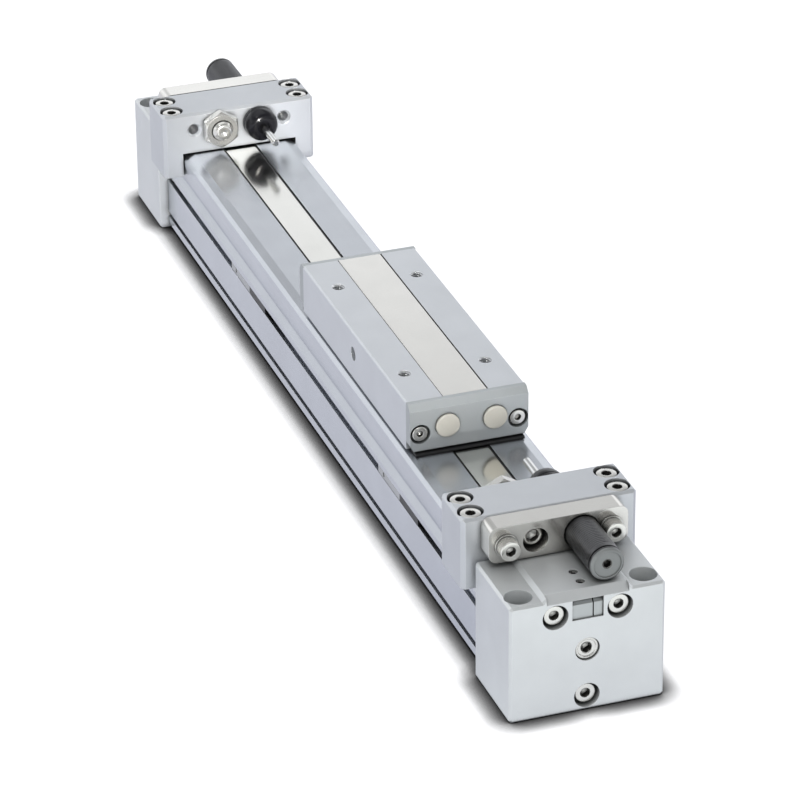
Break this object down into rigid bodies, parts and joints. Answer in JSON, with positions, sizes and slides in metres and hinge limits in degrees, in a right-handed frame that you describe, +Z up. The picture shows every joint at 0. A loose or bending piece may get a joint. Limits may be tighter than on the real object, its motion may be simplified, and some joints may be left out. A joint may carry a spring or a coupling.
{
  "type": "rodless pneumatic cylinder",
  "caption": "Band-type rodless air cylinder with a slider on a slotted tube, square head covers, and a stop bracket with shock absorber and adjusting bolt at each end.",
  "frame": {"origin": "middle of the cylinder's length and width, on the plane that its head covers stand on", "axes": "+X along the stroke towards the near end, +Z up out of the slider's top, -Y towards the side with the switches"},
  "size_m": [0.421, 0.0604, 0.0589],
  "materials": {
    "tube_aluminium": "satin anodised",
    "head_aluminium": "satin anodised",
    "bracket_aluminium": "satin anodised",
    "slider_aluminium": "satin anodised",
    "clamp_aluminium": "machined",
    "band_steel": "polished along its length",
    "polished_steel": "mirror polished",
    "plated_screw": "nickel plated",
    "bright_steel": "ground bright",
    "absorber_grey": "satin dark grey",
    "cap_black": "glossy black",
    "cover_plastic": "satin grey",
    "striker_plastic": "pale cream",
    "bearing_plastic": "smooth dark plastic",
    "seal_rubber": "smooth black",
    "magnet": "sintered dark grey",
    "switch_grey": "pale grey",
    "switch_black": "black"
  },
  "bodies": {
    "cylinder": {"cylinder_tube": "tube_aluminium", "dust_seal_band": "band_steel", "inner_seal_band": "seal_rubber", "head_cover_near": "head_aluminium", "head_cover_far": "head_aluminium", "head_gasket_near": "seal_rubber", "head_gasket_far": "seal_rubber", "head_screws_near": "plated_screw", "head_screws_far": "plated_screw", "end_port_plug_near": "plated_screw", "end_port_plug_far": "plated_screw", "cushion_boss_near": "bright_steel", "cushion_boss_far": "bright_steel", "band_clamp_near": "clamp_aluminium", "band_clamp_far": "clamp_aluminium", "band_clamp_screws_near": "plated_screw", "band_clamp_screws_far": "plated_screw", "stop_bracket_near": "bracket_aluminium", "stop_bracket_far": "bracket_aluminium", "bracket_clamp_jaws_near": "clamp_aluminium", "bracket_clamp_jaws_far": "clamp_aluminium", "bracket_screws_near": "plated_screw", "bracket_screws_far": "plated_screw", "stop_plate_near": "polished_steel", "stop_plate_far": "polished_steel", "plate_screws_near": "plated_screw", "plate_screws_far": "plated_screw", "plate_washers_near": "plated_screw", "plate_washers_far": "plated_screw", "absorber_body_near": "absorber_grey", "absorber_body_far": "absorber_grey", "absorber_cap_near": "cap_black", "absorber_cap_far": "cap_black", "adjusting_bolt_nut_near": "plated_screw", "adjusting_bolt_nut_far": "plated_screw"},
    "carriage": {"slider_body": "slider_aluminium", "slider_cover_strip": "polished_steel", "slider_bearings": "bearing_plastic", "coupling_pins": "bright_steel", "slider_end_cover_near": "cover_plastic", "slider_end_cover_far": "cover_plastic", "end_cover_screws": "plated_screw", "striker_buttons": "striker_plastic", "scrapers": "seal_rubber", "piston_yoke": "clamp_aluminium", "piston_near": "clamp_aluminium", "piston_far": "clamp_aluminium", "piston_seals": "seal_rubber", "wear_rings": "bearing_plastic", "piston_magnets": "magnet"},
    "absorber_rod_near": {"absorber_rod_near": "bright_steel"},
    "adjusting_bolt_near": {"adjusting_bolt_near": "plated_screw"},
    "cushion_needle_near": {"cushion_needle_near": "bright_steel"},
    "switch_near": {"switch_clamp_near": "switch_grey", "switch_body_near": "switch_black"},
    "absorber_rod_far": {"absorber_rod_far": "bright_steel"},
    "adjusting_bolt_far": {"adjusting_bolt_far": "plated_screw"},
    "cushion_needle_far": {"cushion_needle_far": "bright_steel"},
    "switch_far": {"switch_clamp_far": "switch_grey", "switch_body_far": "switch_black"}
  },
  "joints": [
    {"name": "carriage_slide", "type": "slide", "parent": "cylinder", "child": "carriage", "axis": [1, 0, 0], "range_m": [-0.1161, 0.0315], "deforming": ["dust_seal_band", "inner_seal_band"]},
    {"name": "absorber_rod_near_slide", "type": "slide", "parent": "cylinder", "child": "absorber_rod_near", "axis": [1, 0, 0], "range_m": [0, 0.0148], "stiffness_N_per_m": 300, "springref_m": -0.01},
    {"name": "adjusting_bolt_near_slide", "type": "slide", "parent": "cylinder", "child": "adjusting_bolt_near", "axis": [1, 0, 0], "range_m": [-0.01, 0.002]},
    {"name": "switch_near_slide", "type": "slide", "parent": "cylinder", "child": "switch_near", "axis": [1, 0, 0], "range_m": [-0.05, 0.05]},
    {"name": "cushion_needle_near_turn", "type": "hinge", "parent": "cylinder", "child": "cushion_needle_near", "pos_m": [0.1855, 0.02, 0.031], "axis": [0, 1, 0], "range_deg": [-360, 360]},
    {"name": "absorber_rod_far_slide", "type": "slide", "parent": "cylinder", "child": "absorber_rod_far", "axis": [-1, 0, 0], "range_m": [0, 0.0148], "stiffness_N_per_m": 300, "springref_m": -0.01},
    {"name": "adjusting_bolt_far_slide", "type": "slide", "parent": "cylinder", "child": "adjusting_bolt_far", "axis": [-1, 0, 0], "range_m": [-0.01, 0.002]},
    {"name": "switch_far_slide", "type": "slide", "parent": "cylinder", "child": "switch_far", "axis": [1, 0, 0], "range_m": [-0.05, 0.05]},
    {"name": "cushion_needle_far_turn", "type": "hinge", "parent": "cylinder", "child": "cushion_needle_far", "pos_m": [-0.1855, 0.02, 0.031], "axis": [0, 1, 0], "range_deg": [-360, 360]}
  ]
}
